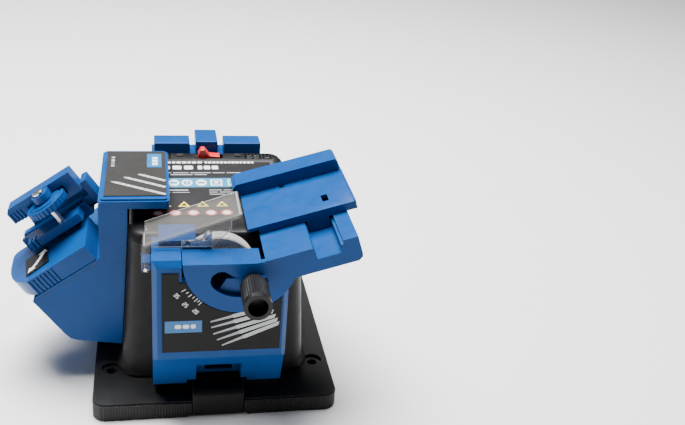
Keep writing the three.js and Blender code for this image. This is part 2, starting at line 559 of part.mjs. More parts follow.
function buildSwingUnit(drill) {
  const group = new THREE.Group();
  group.position.set(SWING.x, 0, SWING.z);
  group.rotation.y = radians(-SWING.slope);
  drill.add(group);
  const plan = new THREE.Shape();
  plan.moveTo(0, DRILL.front);
  plan.lineTo(0, 2);
  plan.lineTo(-5, 18);
  plan.lineTo(-60, 18);
  plan.absarc(-60, 12, 6, Math.PI / 2, Math.PI);
  plan.lineTo(-65.4, -2);
  plan.quadraticCurveTo(-64, -30, -46.4, DRILL.front);
  let platform = extrudeZ(plan, -SWING.skirt, 0, 8);
  platform = cut(platform, cylinderZ(4.4, -20, 5, SWING.pinS, SWING.pinY, 24),
    extrudeZ(outline([[-55, -33], [-20, -33], [-20, 10], [-55, 10]]), -SWING.skirt - 1, -3));
  for (let i = 0; i < 7; i += 1) {
    const s = -45.4 + i * 2.9;
    platform = cut(platform, box(s, s + 1.3, DRILL.front - 1, DRILL.front + 0.9, -SWING.skirt - 1, -1.2));
  }
  piece(group, 'drill_platform', platform, BLUE);
  piece(group, 'platform_label', box(-9.2, 9.2, -13.6, 13.6, GAP, 0.8).rotate([0, 0, 9.5])
    .translate([-40.6, -21, 0]), LABEL);
  piece(group, 'swing_pin', cylinderZ(4, -SWING.skirt - 6, -0.3, SWING.pinS, SWING.pinY, 24), STEEL);

  const wedge = extrudeY(outline([[-40, 0.4], [8, 0.4], [8, 25], [-38, 17]]), 14.5, 17.5);
  const anvil = box(-48, 5, 1, 17.5, 0.4, 10.8);
  const foot = box(-42, 0, -11.5, 17.5, 4.6, 10.8);
  const tip = union(box(4, 15, 4, 17.5, 6, 13), box(10.5, 15, 2, 17.5, 6, 24));
  let lower = cut(union(wedge, anvil, foot, tip), cylinderZ(2.9, -5, 30, SCREW.s, SCREW.y, 20));
  lower = cut(lower, extrudeX(outline([[5.5, 11.5], [10.5, 11.5], [8, 8]]), -60, 4.2));
  for (let i = 0; i < 4; i += 1) {
    const s = -46 + i * 3.4;
    lower = cut(lower, box(s, s + 1.4, -12, -6, 4, 12));
  }
  piece(group, 'clamp_lower_jaw', lower, BLUE);

  const bar = extrudeY(outline([[-43, 24], [-43, 33], [-40.6, 35.6], [9.4, 35.6], [9.4, 19.6], [-30, 19.6],
    [-31, 23.4]]), 0, 13);
  const boss = union(cylinderZ(6, 30.2, 35.2, SCREW.s, SCREW.y, 24),
    box(SCREW.s - 6, SCREW.s + 6, SCREW.y, 1, 30.2, 35.2));
  let upper = cut(bar.add(boss), cylinderZ(2.9, 0, 50, SCREW.s, SCREW.y, 20),
    cylinderZ(SCREW.wheel + 0.8, 23, 29.8, SCREW.s, SCREW.y, 40));
  for (let i = 0; i < 4; i += 1) {
    const across = -41.4 + i * 2.6;
    upper = cut(upper, box(across, across + 1.2, -1, 0.9, 20, 31.5));
  }
  piece(group, 'clamp_upper_bar', upper, BLUE);

  const teeth = 30;
  const rim = Array.from({ length: teeth * 2 }, (_, i) => {
    const a = Math.PI * i / teeth;
    const r = SCREW.wheel - (i % 2 ? 0.9 : 0);
    return [SCREW.s + r * Math.cos(a), SCREW.y + r * Math.sin(a)];
  });
  const disc = union(extrudeZ(outline(rim), 23.6, 28.6), cylinderZ(11.5, 28.5, 29.4, SCREW.s, SCREW.y, 32));
  piece(group, 'thumb_wheel', cut(disc, cylinderZ(2.8, 10, 40, SCREW.s, SCREW.y, 20)), BLUE);
  piece(group, 'lead_screw', union(cylinderZ(2.4, 7.4, 36, SCREW.s, SCREW.y, 20),
    cylinderZ(4, 35.6, 37.2, SCREW.s, SCREW.y, 20)), STEEL);
}

function buildDrillAttachment(station) {
  const group = new THREE.Group();
  station.add(group);
  buildDrillBody(group);
  buildSwingUnit(group);
}

// ---- knife and scissors attachment ----
function buildKnifeAttachment(station) {
  const group = new THREE.Group();
  station.add(group);
  const { halfX, front, back, bottom, floor } = KNIFE;
  const side = outline([[front, bottom], [76, bottom], [back, 48], [back, floor - 4], [back - 4, floor],
    [front, floor]]);
  let body = extrudeX(side, -halfX, halfX);
  body = cut(body, box(-halfX + 3, halfX - 3, front - 1, back - 3, 50, floor - 3),
    box(-halfX + 3, halfX - 3, front - 1, 73, 0, 51), box(-18.6, 18, 70, 100, 0, 38));
  piece(group, 'knife_body', body, BLUE);
  const block = (name, x0, x1, y1, top) => {
    const shape = outline([[front, floor + GAP], [y1 - 2, floor + GAP], [y1, top - 3], [y1 - 1, top], [front + 0.4, top]]);
    piece(group, name, extrudeX(shape, x0, x1), BLUE);
  };
  block('knife_guide_left', -40.2, -13.2, 82, 136.5);
  block('knife_guide_right', 12.7, 41.3, 82, 136.5);
  block('knife_guide_middle', -8.7, 8.1, 91.5, 137.8);
}

const station = new THREE.Group();
buildBase(station);
buildLatches(station);
buildTower(station);
buildMotor(station);
buildElectrics(station);
buildChiselAttachment(station);
buildDrillAttachment(station);
buildKnifeAttachment(station);

export default station;
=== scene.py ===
import json
import math
import bmesh
import bpy
from mathutils import Matrix, Vector


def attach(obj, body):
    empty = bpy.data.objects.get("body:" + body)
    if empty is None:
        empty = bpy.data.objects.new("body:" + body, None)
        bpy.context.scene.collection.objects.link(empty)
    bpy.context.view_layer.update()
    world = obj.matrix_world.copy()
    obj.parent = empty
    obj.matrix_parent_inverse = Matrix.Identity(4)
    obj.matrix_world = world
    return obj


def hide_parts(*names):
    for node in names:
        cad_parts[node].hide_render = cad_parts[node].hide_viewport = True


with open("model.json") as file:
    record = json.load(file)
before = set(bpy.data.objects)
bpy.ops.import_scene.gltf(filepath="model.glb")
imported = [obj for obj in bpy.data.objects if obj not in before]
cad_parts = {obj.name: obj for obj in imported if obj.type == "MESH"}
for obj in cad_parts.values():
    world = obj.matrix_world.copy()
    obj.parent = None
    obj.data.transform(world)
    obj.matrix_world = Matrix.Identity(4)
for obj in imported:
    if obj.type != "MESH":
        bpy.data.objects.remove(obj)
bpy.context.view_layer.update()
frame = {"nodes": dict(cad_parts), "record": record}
MM = 0.001


# ---- node materials ----
class Surface:
    """One procedural material: a Principled shader with fine variation, grain and a painted edge highlight."""

    def __init__(self, name, colour, roughness, metallic=0.0):
        self.material = bpy.data.materials.new(name)
        self.material.use_nodes = True
        self.tree = self.material.node_tree
        self.shader = self.tree.nodes["Principled BSDF"]
        self.shader.inputs["Base Color"].default_value = (*colour, 1)
        self.shader.inputs["Roughness"].default_value = roughness
        self.shader.inputs["Metallic"].default_value = metallic
        self.colour = colour
        self.roughness = roughness
        self.coords = self.tree.nodes.new("ShaderNodeTexCoord").outputs["Object"]
        self.normal = None

    def node(self, kind, **values):
        made = self.tree.nodes.new(kind)
        for key, value in values.items():
            setattr(made, key, value)
        return made

    def link(self, out, into):
        self.tree.links.new(out, into)

    def noise(self, scale, detail=3.0, stretch=None):
        source = self.coords
        if stretch:
            mapping = self.node("ShaderNodeMapping")
            mapping.inputs["Scale"].default_value = stretch
            self.link(source, mapping.inputs["Vector"])
            source = mapping.outputs["Vector"]
        made = self.node("ShaderNodeTexNoise")
        made.inputs["Scale"].default_value = scale
        made.inputs["Detail"].default_value = detail
        self.link(source, made.inputs["Vector"])
        return made.outputs["Fac"]

    def ranged(self, value, low, high, start=0.3, end=0.7):
        made = self.node("ShaderNodeMapRange")
        made.inputs["From Min"].default_value = start
        made.inputs["From Max"].default_value = end
        made.inputs["To Min"].default_value = low
        made.inputs["To Max"].default_value = high
        self.link(value, made.inputs["Value"])
        return made.outputs["Result"]

    def tint(self, value, colour, strength=1.0):
        mix = self.node("ShaderNodeMix", data_type="RGBA")
        mix.inputs["A"].default_value = (*self.colour, 1)
        mix.inputs["B"].default_value = (*colour, 1)
        current = self.shader.inputs["Base Color"]
        if current.is_linked:
            self.link(current.links[0].from_socket, mix.inputs["A"])
        self.link(self.ranged(value, 0.0, strength, 0.0, 1.0), mix.inputs["Factor"])
        self.link(mix.outputs["Result"], current)

    def mottle(self, scale, amount=0.12):
        shade = tuple(c * (1 - amount * 2) for c in self.colour)
        self.tint(self.ranged(self.noise(scale, 4.0), 0.0, 1.0), shade, 0.6)
        spread = self.ranged(self.noise(scale * 3.1, 2.0), self.roughness - amount * 0.5,
                             self.roughness + amount * 0.7)
        self.link(spread, self.shader.inputs["Roughness"])

    def bump(self, height, depth, strength=1.0):
        made = self.node("ShaderNodeBump")
        made.inputs["Strength"].default_value = strength
        made.inputs["Distance"].default_value = depth
        self.link(height, made.inputs["Height"])
        if self.normal:
            self.link(self.normal, made.inputs["Normal"])
        self.normal = made.outputs["Normal"]
        self.link(self.normal, self.shader.inputs["Normal"])

    # Painted edge highlight: convex edges, found where the bevel normal turns away from the true normal, are tinted
    # a lighter colour and broken up by noise.
    def painted_edge_highlight(self, colour, radius=0.0007, strength=0.55):
        edge = self.node("ShaderNodeBevel", samples=6)
        edge.inputs["Radius"].default_value = radius
        plain = self.node("ShaderNodeNewGeometry")
        dot = self.node("ShaderNodeVectorMath", operation="DOT_PRODUCT")
        self.link(edge.outputs["Normal"], dot.inputs[0])
        self.link(plain.outputs["Normal"], dot.inputs[1])
        mask = self.ranged(dot.outputs["Value"], 1.0, 0.0, 0.80, 0.985)
        broken = self.node("ShaderNodeMath", operation="MULTIPLY")
        self.link(mask, broken.inputs[0])
        self.link(self.ranged(self.noise(420.0, 3.0), 0.25, 1.0), broken.inputs[1])
        self.tint(broken.outputs["Value"], colour, strength)


def plastic(name, colour, roughness, grain=0.00004, edge=None, coat=0.0, mottle=0.1, sheen=0.5):
    made = Surface(name, colour, roughness)
    made.shader.inputs["Specular IOR Level"].default_value = sheen
    made.mottle(38.0, mottle)
    made.bump(made.noise(1500.0, 2.0), grain, 0.6)
    # The edge colour is a painted edge highlight, lighter than the body colour.
    if edge:
        made.painted_edge_highlight(edge)
    made.shader.inputs["Coat Weight"].default_value = coat
    made.shader.inputs["Coat Roughness"].default_value = 0.25
    return made.material


def steel(name, colour=(0.62, 0.62, 0.61), roughness=0.28, stretch=(1, 40, 1)):
    made = Surface(name, colour, roughness, 1.0)
    made.mottle(60.0, 0.16)
    made.bump(made.noise(420.0, 3.0, stretch), 0.00003, 0.5)
    return made.material


def base_plastic():
    """Grained black with fine upright ribs around the edge of the plate."""
    made = Surface("base_black", (0.0085, 0.0085, 0.009), 0.46)
    made.shader.inputs["Specular IOR Level"].default_value = 0.24
    made.mottle(30.0, 0.1)
    split = made.node("ShaderNodeSeparateXYZ")
    made.link(made.coords, split.inputs["Vector"])
    total = made.node("ShaderNodeMath", operation="ADD")
    made.link(split.outputs["X"], total.inputs[0])
    made.link(split.outputs["Y"], total.inputs[1])
    wave = made.node("ShaderNodeMath", operation="MULTIPLY")
    wave.inputs[1].default_value = 2 * math.pi / 0.0019
    made.link(total.outputs["Value"], wave.inputs[0])
    rib = made.node("ShaderNodeMath", operation="SINE")
    made.link(wave.outputs["Value"], rib.inputs[0])
    facing = made.node("ShaderNodeNewGeometry")
    axis = made.node("ShaderNodeSeparateXYZ")
    made.link(facing.outputs["Normal"], axis.inputs["Vector"])
    upright = made.node("ShaderNodeMath", operation="ABSOLUTE")
    made.link(axis.outputs["Z"], upright.inputs[0])
    side = made.node("ShaderNodeMath", operation="LESS_THAN")
    side.inputs[1].default_value = 0.2
    made.link(upright.outputs["Value"], side.inputs[0])
    masked = made.node("ShaderNodeMath", operation="MULTIPLY")
    made.link(rib.outputs["Value"], masked.inputs[0])
    made.link(side.outputs["Value"], masked.inputs[1])
    made.bump(masked.outputs["Value"], 0.00022, 1.0)
    made.bump(made.noise(1300.0, 2.0), 0.00007, 0.7)
    # Lighter grey edges: painted edge highlight.
    made.painted_edge_highlight((0.05, 0.05, 0.052), 0.0007, 0.5)
    return made.material


def abrasive():
    made = Surface("abrasive", (0.46, 0.45, 0.43), 0.7)
    made.tint(made.ranged(made.noise(900.0, 4.0), 0.0, 1.0, 0.4, 0.6), (0.62, 0.60, 0.56), 0.8)
    made.tint(made.ranged(made.noise(2100.0, 2.0), 0.0, 1.0, 0.52, 0.6), (0.09, 0.08, 0.075), 0.7)
    made.bump(made.noise(1400.0, 5.0), 0.00025, 1.0)
    return made.material


def smoked():
    """Smoked clear plastic, slightly scratched."""
    made = Surface("smoked_clear", (0.30, 0.29, 0.27), 0.10)
    made.shader.inputs["IOR"].default_value = 1.45
    made.shader.inputs["Alpha"].default_value = 0.17
    made.link(made.ranged(made.noise(50.0, 5.0, (1, 9, 1)), 0.07, 0.2), made.shader.inputs["Roughness"])
    made.tint(made.ranged(made.noise(60.0, 3.0), 0.0, 1.0), (0.24, 0.23, 0.21), 0.6)
    made.bump(made.noise(260.0, 2.0, (1, 12, 1)), 0.00001, 0.4)
    return made.material


def label_film(name, colour, roughness):
    made = Surface(name, colour, roughness)
    made.shader.inputs["Specular IOR Level"].default_value = 0.12
    made.mottle(25.0, 0.08)
    made.bump(made.noise(700.0, 2.0), 0.00001, 0.4)
    return made.material


def print_ink(name, colour, roughness=0.4):
    made = Surface(name, colour, roughness)
    made.tint(made.ranged(made.noise(500.0, 3.0), 0.0, 1.0), tuple(c * 0.82 for c in colour), 0.7)
    made.bump(made.noise(900.0, 2.0), 0.00001, 0.4)
    return made.material


# Each edge colour below is the painted edge highlight for that plastic.
BLUE = plastic("blue_plastic", (0.0, 0.052, 0.215), 0.34, 0.00003, (0.01, 0.16, 0.46), 0.0, 0.1, 0.16)
BLACK = plastic("black_plastic", (0.006, 0.006, 0.0065), 0.40, 0.00008, (0.022, 0.022, 0.024), 0.0, 0.1, 0.18)
KNOB = plastic("knob_black", (0.007, 0.007, 0.0075), 0.40, 0.00007, (0.03, 0.03, 0.032), 0.0, 0.1, 0.24)
BASE = base_plastic()
RED = plastic("red_plastic", (0.66, 0.022, 0.018), 0.3, 0.00002, (0.9, 0.25, 0.2), 0.3)
RUBBER = plastic("rubber", (0.014, 0.014, 0.014), 0.82, 0.0001)
GREY = plastic("grey_plastic", (0.36, 0.37, 0.38), 0.55)
BOARD = plastic("board_green", (0.02, 0.12, 0.05), 0.45)
CARBON = plastic("carbon", (0.02, 0.02, 0.021), 0.7, 0.0001)
COPPER = steel("copper", (0.62, 0.30, 0.16), 0.38)
STEEL = steel("steel")
PLATED = steel("plated_steel", (0.72, 0.71, 0.69), 0.22, (30, 1, 1))
STONE = abrasive()
SMOKE = smoked()
LABEL = label_film("label_film", (0.016, 0.016, 0.017), 0.36)
DARK = label_film("label_dark", (0.006, 0.006, 0.0065), 0.32)
GREYLABEL = label_film("label_grey", (0.030, 0.029, 0.028), 0.38)
WHITE = print_ink("ink_white", (0.78, 0.79, 0.80))
SILVER = print_ink("ink_silver", (0.50, 0.51, 0.52), 0.32)
PALE = print_ink("ink_pale", (0.36, 0.37, 0.39), 0.32)
TEAL = print_ink("ink_teal", (0.0, 0.20, 0.36))
SKY = print_ink("ink_blue", (0.0, 0.13, 0.36))
YELLOW = print_ink("ink_yellow", (0.80, 0.62, 0.03))
SCARLET = print_ink("ink_red", (0.62, 0.04, 0.04))
# Pale opaque colour for the clear hood's edges: a painted highlight.
HIGHLIGHT_RIM = plastic("painted_highlight_rim", (0.30, 0.30, 0.295), 0.2, 0.00001)
SEAM = plastic("seam_dark", (0.003, 0.02, 0.07), 0.6)


# ---- pieces ----
def place(obj, body, material):
    bpy.context.scene.collection.objects.link(obj)
    obj.data.materials.clear()
    obj.data.materials.append(material)
    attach(obj, body)
    return obj


def finish_edges(obj, width, segments=2, angle=32):
    if width > 0:
        mod = obj.modifiers.new("bevel", "BEVEL")
        mod.width = width * MM
        mod.segments = segments
        mod.limit_method = "ANGLE"
        mod.angle_limit = math.radians(angle)
        mod.harden_normals = True
        mod.use_clamp_overlap = True
        mod.miter_outer = "MITER_ARC"
    for face in obj.data.polygons:
        face.use_smooth = True
    obj.data.set_sharp_from_angle(angle=math.radians(angle))


BODY_OF = {node: body for body, nodes in frame["record"]["behaviour"]["bodies"].items() for node in nodes}


def skin(node, material, width=0.5, segments=2, pierced=False):
    """A softened copy of a CAD node, standing for it. A pierced wall keeps its own triangles."""
    source = frame["nodes"][node]
    mesh = source.data.copy()
    mesh.name = node + "_skin"
    work = bmesh.new()
    work.from_mesh(mesh)
    bmesh.ops.remove_doubles(work, verts=work.verts, dist=1e-6)
    if not pierced:
        bmesh.ops.dissolve_limit(work, angle_limit=math.radians(0.6), verts=work.verts, edges=work.edges)
    work.to_mesh(mesh)
    work.free()
    obj = bpy.data.objects.new(node + "_skin", mesh)
    place(obj, BODY_OF[node], material)
    finish_edges(obj, width, segments)
    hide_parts(node)
    return obj


def plane_at(origin, u, v):
    """Matrix of a local plane: millimetre origin, unit u and v, with the normal as the third axis."""
    u = Vector(u).normalized()
    v = Vector(v).normalized()
    n = u.cross(v)
    place_matrix = Matrix((u, v, n)).transposed().to_4x4()
    place_matrix.translation = Vector(origin) * MM
    return place_matrix


def prisms(name, plane, outlines, thickness, body, material, base=0.0, edge=0.0):
    """Flat shapes with rounded rims, raised on a plane, joined as one piece."""
    work = bmesh.new()
    for points in outlines:
        low = [work.verts.new(plane @ Vector((x * MM, y * MM, base * MM))) for x, y in points]
        high = [work.verts.new(plane @ Vector((x * MM, y * MM, (base + thickness) * MM))) for x, y in points]
        work.faces.new(high)
        work.faces.new(list(reversed(low)))
        for i in range(len(points)):
            j = (i + 1) % len(points)
            work.faces.new([low[i], low[j], high[j], high[i]])
    bmesh.ops.recalc_face_normals(work, faces=work.faces)
    mesh = bpy.data.meshes.new(name)
    work.to_mesh(mesh)
    work.free()
    obj = bpy.data.objects.new(name, mesh)
    place(obj, body, material)
    finish_edges(obj, edge)
    return obj


def rectangle(x0, x1, y0, y1):
    return [(x0, y0), (x1, y0), (x1, y1), (x0, y1)]


def rounded(x0, x1, y0, y1, r, steps=5):
    points = []
    for cx, cy, start in ((x1 - r, y0 + r, -90), (x1 - r, y1 - r, 0), (x0 + r, y1 - r, 90), (x0 + r, y0 + r, 180)):
        for i in range(steps + 1):
            a = math.radians(start + 90 * i / steps)
            points.append((cx + r * math.cos(a), cy + r * math.sin(a)))
    return points


def ellipse(x, y, rx, ry, steps=28):
    return [(x + rx * math.cos(2 * math.pi * i / steps), y + ry * math.sin(2 * math.pi * i / steps))
            for i in range(steps)]


def stroke(x0, y0, x1, y1, w0, w1=None):
    """A tapering bar from one point to another."""
    w1 = w0 if w1 is None else w1
    length = math.hypot(x1 - x0, y1 - y0)
    nx, ny = (y0 - y1) / length / 2, (x1 - x0) / length / 2
    return [(x0 - nx * w0, y0 - ny * w0), (x1 - nx * w1, y1 - ny * w1), (x1 + nx * w1, y1 + ny * w1),
            (x0 + nx * w0, y0 + ny * w0)]


# ---- the CAD nodes, softened ----
for node in ("chisel_body", "tilt_table", "chisel_carriage", "drill_body", "drill_platform", "knife_body"):
    skin(node, BLUE, 0.6, 3)
for node in ("clamp_lower_jaw", "clamp_upper_bar", "thumb_wheel"):
    skin(node, BLUE, 0.25)
for node in ("knife_guide_left", "knife_guide_right", "knife_guide_middle"):
    skin(node, BLUE, 0.9, 3)
for node in ("tower_housing", "top_cover"):
    skin(node, BLACK, 0, pierced=True)
skin("switch_body", BLACK, 0.4)
for node in ("front_latch", "left_latch", "rear_latch"):
    skin(node, BLACK, 0.9, 3)
skin("base_plate", BASE, 0.5)
skin("clamp_knob", KNOB, 0.25)
skin("switch_rocker", RED, 0.6, 3)
skin("hood", SMOKE, 0.25)
skin("grinding_wheel", STONE, 0.3)
for node in ("cable_gland", "foot_pad_front_left", "foot_pad_front_right", "foot_pad_rear_left",
             "foot_pad_rear_right"):
    skin(node, RUBBER, 0.4)
for node in ("guard_bracket", "bracket_bolt", "hood_pin", "wheel_nut", "wheel_flange", "drive_shaft"):
    skin(node, PLATED, 0.2)
for node in ("stator_stack", "front_bearing", "rear_bearing", "clamp_stud", "swing_pin", "lead_screw",
             "base_screw_front_left", "base_screw_front_right", "base_screw_rear_left", "base_screw_rear_right"):
    skin(node, STEEL, 0.3)
for node in ("motor_cradle", "front_end_frame", "rear_end_frame", "cooling_fan"):
    skin(node, BLACK, 0.3)
for node in ("rotor_stack", "commutator"):
    skin(node, COPPER, 0.3)
for node in ("brush_left", "brush_right"):
    skin(node, CARBON, 0.2)
skin("circuit_board", BOARD, 0.1)
skin("terminal_block", GREY, 0.5)
skin("rating_label", LABEL, 0.1)
skin("chisel_label", DARK, 0.1)
skin("drill_label", GREYLABEL, 0.15)
skin("platform_label", DARK, 0.15)


# ---- printed label on the tower top ----
LABEL_FRONT = -33.6
LABEL_TOP = 122.25
SLOPE = math.atan((131.3 - 121.6) / (61.3 + 37))
ROOF = plane_at((0, LABEL_FRONT, LABEL_TOP), (1, 0, 0), (0, math.cos(SLOPE), math.sin(SLOPE)))


def roof_piece(name, outlines, material, lift=0.0, thickness=0.05):
    """Shapes given in plan, x and y, laid on the sloping top label."""
    flat = [[(x, (y - LABEL_FRONT) / math.cos(SLOPE)) for x, y in points] for points in outlines]
    return prisms(name, ROOF, flat, thickness, "tower", material, lift)


def word_bars(x0, y, height, widths, gap=1.3):
    """A row of plain bars in place of lettering."""
    bars = []
    for width in widths:
        bars.append(rounded(x0, x0 + width, y - height / 2, y + height / 2, min(height, width) * 0.3, 2))
        x0 += width + gap
    return bars


def letter_blocks(x0, x1, y, height, count):
    """A word of plain upright blocks between two ends, alternately wide and narrow."""
    shares = [1.0 if i % 3 else 0.72 for i in range(count)]
    unit = (x1 - x0) / (sum(shares) + 0.28 * (count - 1))
    blocks = []
    for share in shares:
        blocks.append(rounded(x0, x0 + unit * share, y - height / 2, y + height / 2, unit * 0.16, 2))
        x0 += unit * (share + 0.28)
    return blocks


roof_piece("top_band", [rectangle(-45.2, 45.2, 4.3, 17.5)], TEAL)
roof_piece("top_title_bars", letter_blocks(-38.5, -5.2, 41.5, 2.6, 9) + letter_blocks(-3.0, 33.6, 41.5, 2.6, 13)
           + letter_blocks(-33.5, -12.0, 33.6, 5.4, 3) + letter_blocks(-8.6, 6.4, 33.6, 5.4, 3), WHITE)
roof_piece("top_small_bars", word_bars(-42, 25.6, 1.1, (14, 11, 15, 9, 12)) + word_bars(-42, 22.8, 1.1, (12, 16, 9)),
           PALE)
roof_piece("top_side_rules", word_bars(-42, 0.2, 1.5, (9, 15)) + word_bars(-42, -3.0, 0.7, (13, 12))
           + word_bars(-2, 0.2, 0.9, (9, 7, 12)) + word_bars(-2, -2.8, 0.9, (6, 10))
           + word_bars(-2, -5.8, 0.9, (11, 6)), PALE)
roof_piece("top_icons", [ellipse(x, 10.8, 4.0, 4.6) for x in (-36, -26.5, -17.2, -7.0)]
           + [rectangle(-0.6, 8.0, 6.4, 15.2), rectangle(12.0, 20.5, 6.4, 15.2)], WHITE, 0.04)
roof_piece("top_icon_marks", [ellipse(-36, 10.8, 2.6, 3.0), rounded(-29.2, -23.8, 9.6, 12.0, 1.0),
                              ellipse(-17.2, 10.8, 2.4, 2.8), rounded(-9.6, -4.4, 9.6, 12.0, 1.0),
                              rectangle(0.8, 6.6, 7.8, 13.8), rectangle(13.0, 19.5, 7.4, 14.2)], TEAL, 0.08)
roof_piece("top_icon_cores", [rectangle(2.2, 5.2, 9.2, 12.4), ellipse(-36, 10.8, 1.2, 1.4),
                              ellipse(-17.2, 10.8, 1.0, 1.2)], WHITE, 0.12)
TRIANGLES = (-33, -20.2, -7.5, 5.8)
DISCS = (-38, -26.3, -14.3, -2.3, 8.4)
roof_piece("top_triangles", [[(x - 4.2, -22.4), (x + 4.2, -22.4), (x, -15.4)] for x in TRIANGLES], YELLOW)
roof_piece("top_triangle_cores", [[(x - 2.2, -21.2), (x + 2.2, -21.2), (x, -17.6)] for x in TRIANGLES],
           LABEL, 0.04)
roof_piece("top_discs", [ellipse(x, -30.6, 4.0, 3.6) for x in DISCS], SCARLET)
roof_piece("top_disc_cores", [ellipse(x, -30.6, 2.7, 2.4) for x in DISCS], WHITE, 0.04)

# ---- printed label on the chisel attachment ----
FRONT = plane_at((0, -99.1, 0), (1, 0, 0), (0, 0, 1))


def front_piece(name, outlines, material, lift=0.0, thickness=0.1):
    return prisms(name, FRONT, outlines, thickness, "chisel_attachment", material, lift)


def beside(x0, z0, x1, z1, along, across):
    """A point at a part of the way from one end to the other, moved sideways."""
    length = math.hypot(x1 - x0, z1 - z0)
    ux, uz = (x1 - x0) / length, (z1 - z0) / length
    return x0 + (x1 - x0) * along - uz * across, z0 + (z1 - z0) * along + ux * across


front_piece("front_badge", [rectangle(-34.8, -11.5, 70.7, 79.4)], SKY)
front_piece("front_badge_bars", word_bars(-28.6, 75.2, 3.0, (4.0, 4.0, 3.2), 1.0), WHITE, 0.1)
BLADES = ((-6.1, 78.1, 32.8, 88.6), (-5.6, 73.8, 34.2, 84.9), (-4.2, 68.9, 35.7, 81.5), (-1.8, 64.3, 37.1, 78.6),
          (1.5, 60.0, 38.2, 75.9))
blades, tangs, edges = [], [], []
for x0, z0, x1, z1 in BLADES:
    neck = beside(x0, z0, x1, z1, 0.36, 0)
    tip = beside(x0, z0, x1, z1, 0.0, 0)
    blades.append([beside(x0, z0, x1, z1, 0.36, -1.25), beside(x0, z0, x1, z1, 0.97, -1.35), (x1, z1 + 1.0),
                   beside(x0, z0, x1, z1, 0.36, 1.25)])
    tangs.append(stroke(*tip, *neck, 0.9, 1.9))
    edges.append(stroke(*beside(x0, z0, x1, z1, 0.38, -1.15), *beside(x0, z0, x1, z1, 0.97, -1.2), 0.35))
front_piece("front_blades", blades, SILVER)
front_piece("front_tangs", tangs, PALE)
front_piece("front_blade_edges", edges, WHITE, 0.1)
TICKS = ((-23.2, 101.7), (-21.3, 99.7), (-19.2, 97.9), (-17.4, 96.1), (-15.5, 94.5), (-14.2, 93.2), (-12.9, 91.9))
tick_marks = []
for i, (x, z) in enumerate(TICKS):
    ux, uz = (12.5 - x), (121.5 - z)
    length = math.hypot(ux, uz)
    ux, uz = ux / length, uz / length
    reach = 3.0 if i % 2 == 0 else 1.9
    tick_marks.append(stroke(x + ux * 1.6, z + uz * 1.6, x + ux * (1.6 - reach), z + uz * (1.6 - reach), 0.45))
front_piece("front_ticks", tick_marks, WHITE)


def digit(segments, x, z, turn, size):
    """A seven-segment digit: strokes in a 2 by 4 box, turned and placed."""
    ends = {"a": (0, 4, 2, 4), "b": (2, 4, 2, 2), "c": (2, 2, 2, 0), "d": (0, 0, 2, 0), "e": (0, 2, 0, 0),
            "f": (0, 4, 0, 2), "g": (0, 2, 2, 2)}
    cosine, sine = math.cos(turn), math.sin(turn)
    shapes = []
    for key in segments:
        a, b, c, d = (v * size for v in ends[key])
        shapes.append([(x + px * cosine - pz * sine, z + px * sine + pz * cosine)
                       for px, pz in stroke(a, b, c, d, 0.42)])
    return shapes


NUMERALS = {"0": "abcdef", "2": "abged", "3": "abgcd", "5": "afgcd"}
numbers = []
for text, x, z in (("35", -29.4, 98.4), ("25", -24.0, 91.6), ("20", -17.6, 86.6)):
    turn = math.radians(-47)
    for k, mark in enumerate(text):
        step = k * 2.0
        numbers += digit(NUMERALS[mark], x + step * math.cos(turn), z + step * math.sin(turn), turn, 0.62)
front_piece("front_numbers", numbers, WHITE)

# ---- printed label on the drill attachment ----
CAP = plane_at((0, 0, 138.9), (1, 0, 0), (0, 1, 0))


def cap_piece(name, outlines, material, lift=0.0, thickness=0.12):
    return prisms(name, CAP, outlines, thickness, "drill_attachment", material, lift)


cap_piece("cap_badge", [rectangle(-45.2, -35.0, 10.4, 35.4)], SKY)
cap_piece("cap_badge_bars", [rounded(-41.6, -37.6, y, y + 4.2, 0.6, 3) for y in (14.0, 19.4, 24.8)], WHITE, 0.1)
cap_piece("cap_size_marks", [rounded(-70, -67.6, y, y + h, 0.5, 2) for y, h in ((12, 3), (17, 2), (21, 4), (27, 3))],
          PALE)
DRILLS = ((-50.9, -2.1, -32.9, -13.4), (-60.5, -7.0, -32.9, -24.2), (-68.8, -14.2, -33.0, -36.0))
shanks, flutes = [], []
for x0, y0, x1, y1 in DRILLS:
    shanks.append([(x0 - 0.6, y0 + 0.3), beside(x0, y0, x1, y1, 0.06, -1.2), beside(x0, y0, x1, y1, 1.0, -1.3),
                   beside(x0, y0, x1, y1, 1.0, 1.3), beside(x0, y0, x1, y1, 0.06, 1.2)])
    turns = int(math.hypot(x1 - x0, y1 - y0) / 4.2)
    for k in range(turns):
        start = (k + 0.3) / turns
        flutes.append(stroke(*beside(x0, y0, x1, y1, start, -1.2),
                             *beside(x0, y0, x1, y1, min(start + 0.6 / turns, 0.99), 1.2), 0.7))
cap_piece("cap_drills", shanks, SILVER)
cap_piece("cap_flutes", flutes, PALE, 0.1)
cap_piece("cap_drill_edges", [stroke(*beside(*d, 0.08, 0.8), *beside(*d, 0.98, 0.9), 0.4) for d in DRILLS], WHITE,
          0.12)

# ---- swing platform of the drill attachment ----
TILT = math.radians(34.4)
ALONG = Vector((math.cos(TILT), 0, math.sin(TILT)))
SWING = plane_at((-86, 0, 105), ALONG, (0, 1, 0))


def swing_piece(name, outlines, material, base, thickness, edge=0.0):
    return prisms(name, SWING, outlines, thickness, "drill_swing", material, base, edge)


def arc_band(cx, cy, r, start, end, width, steps=14):
    outer, inner = [], []
    for i in range(steps + 1):
        a = math.radians(start + (end - start) * i / steps)
        outer.append((cx + (r + width / 2) * math.cos(a), cy + (r + width / 2) * math.sin(a)))
        inner.append((cx + (r - width / 2) * math.cos(a), cy + (r - width / 2) * math.sin(a)))
    return outer + inner[::-1]


ARROW = (-66.5, -8.3, 31.0)
swing_piece("turn_arrow", [arc_band(*ARROW, -40.5, -11.5, 3.0)], WHITE, 0.8, 0.12)


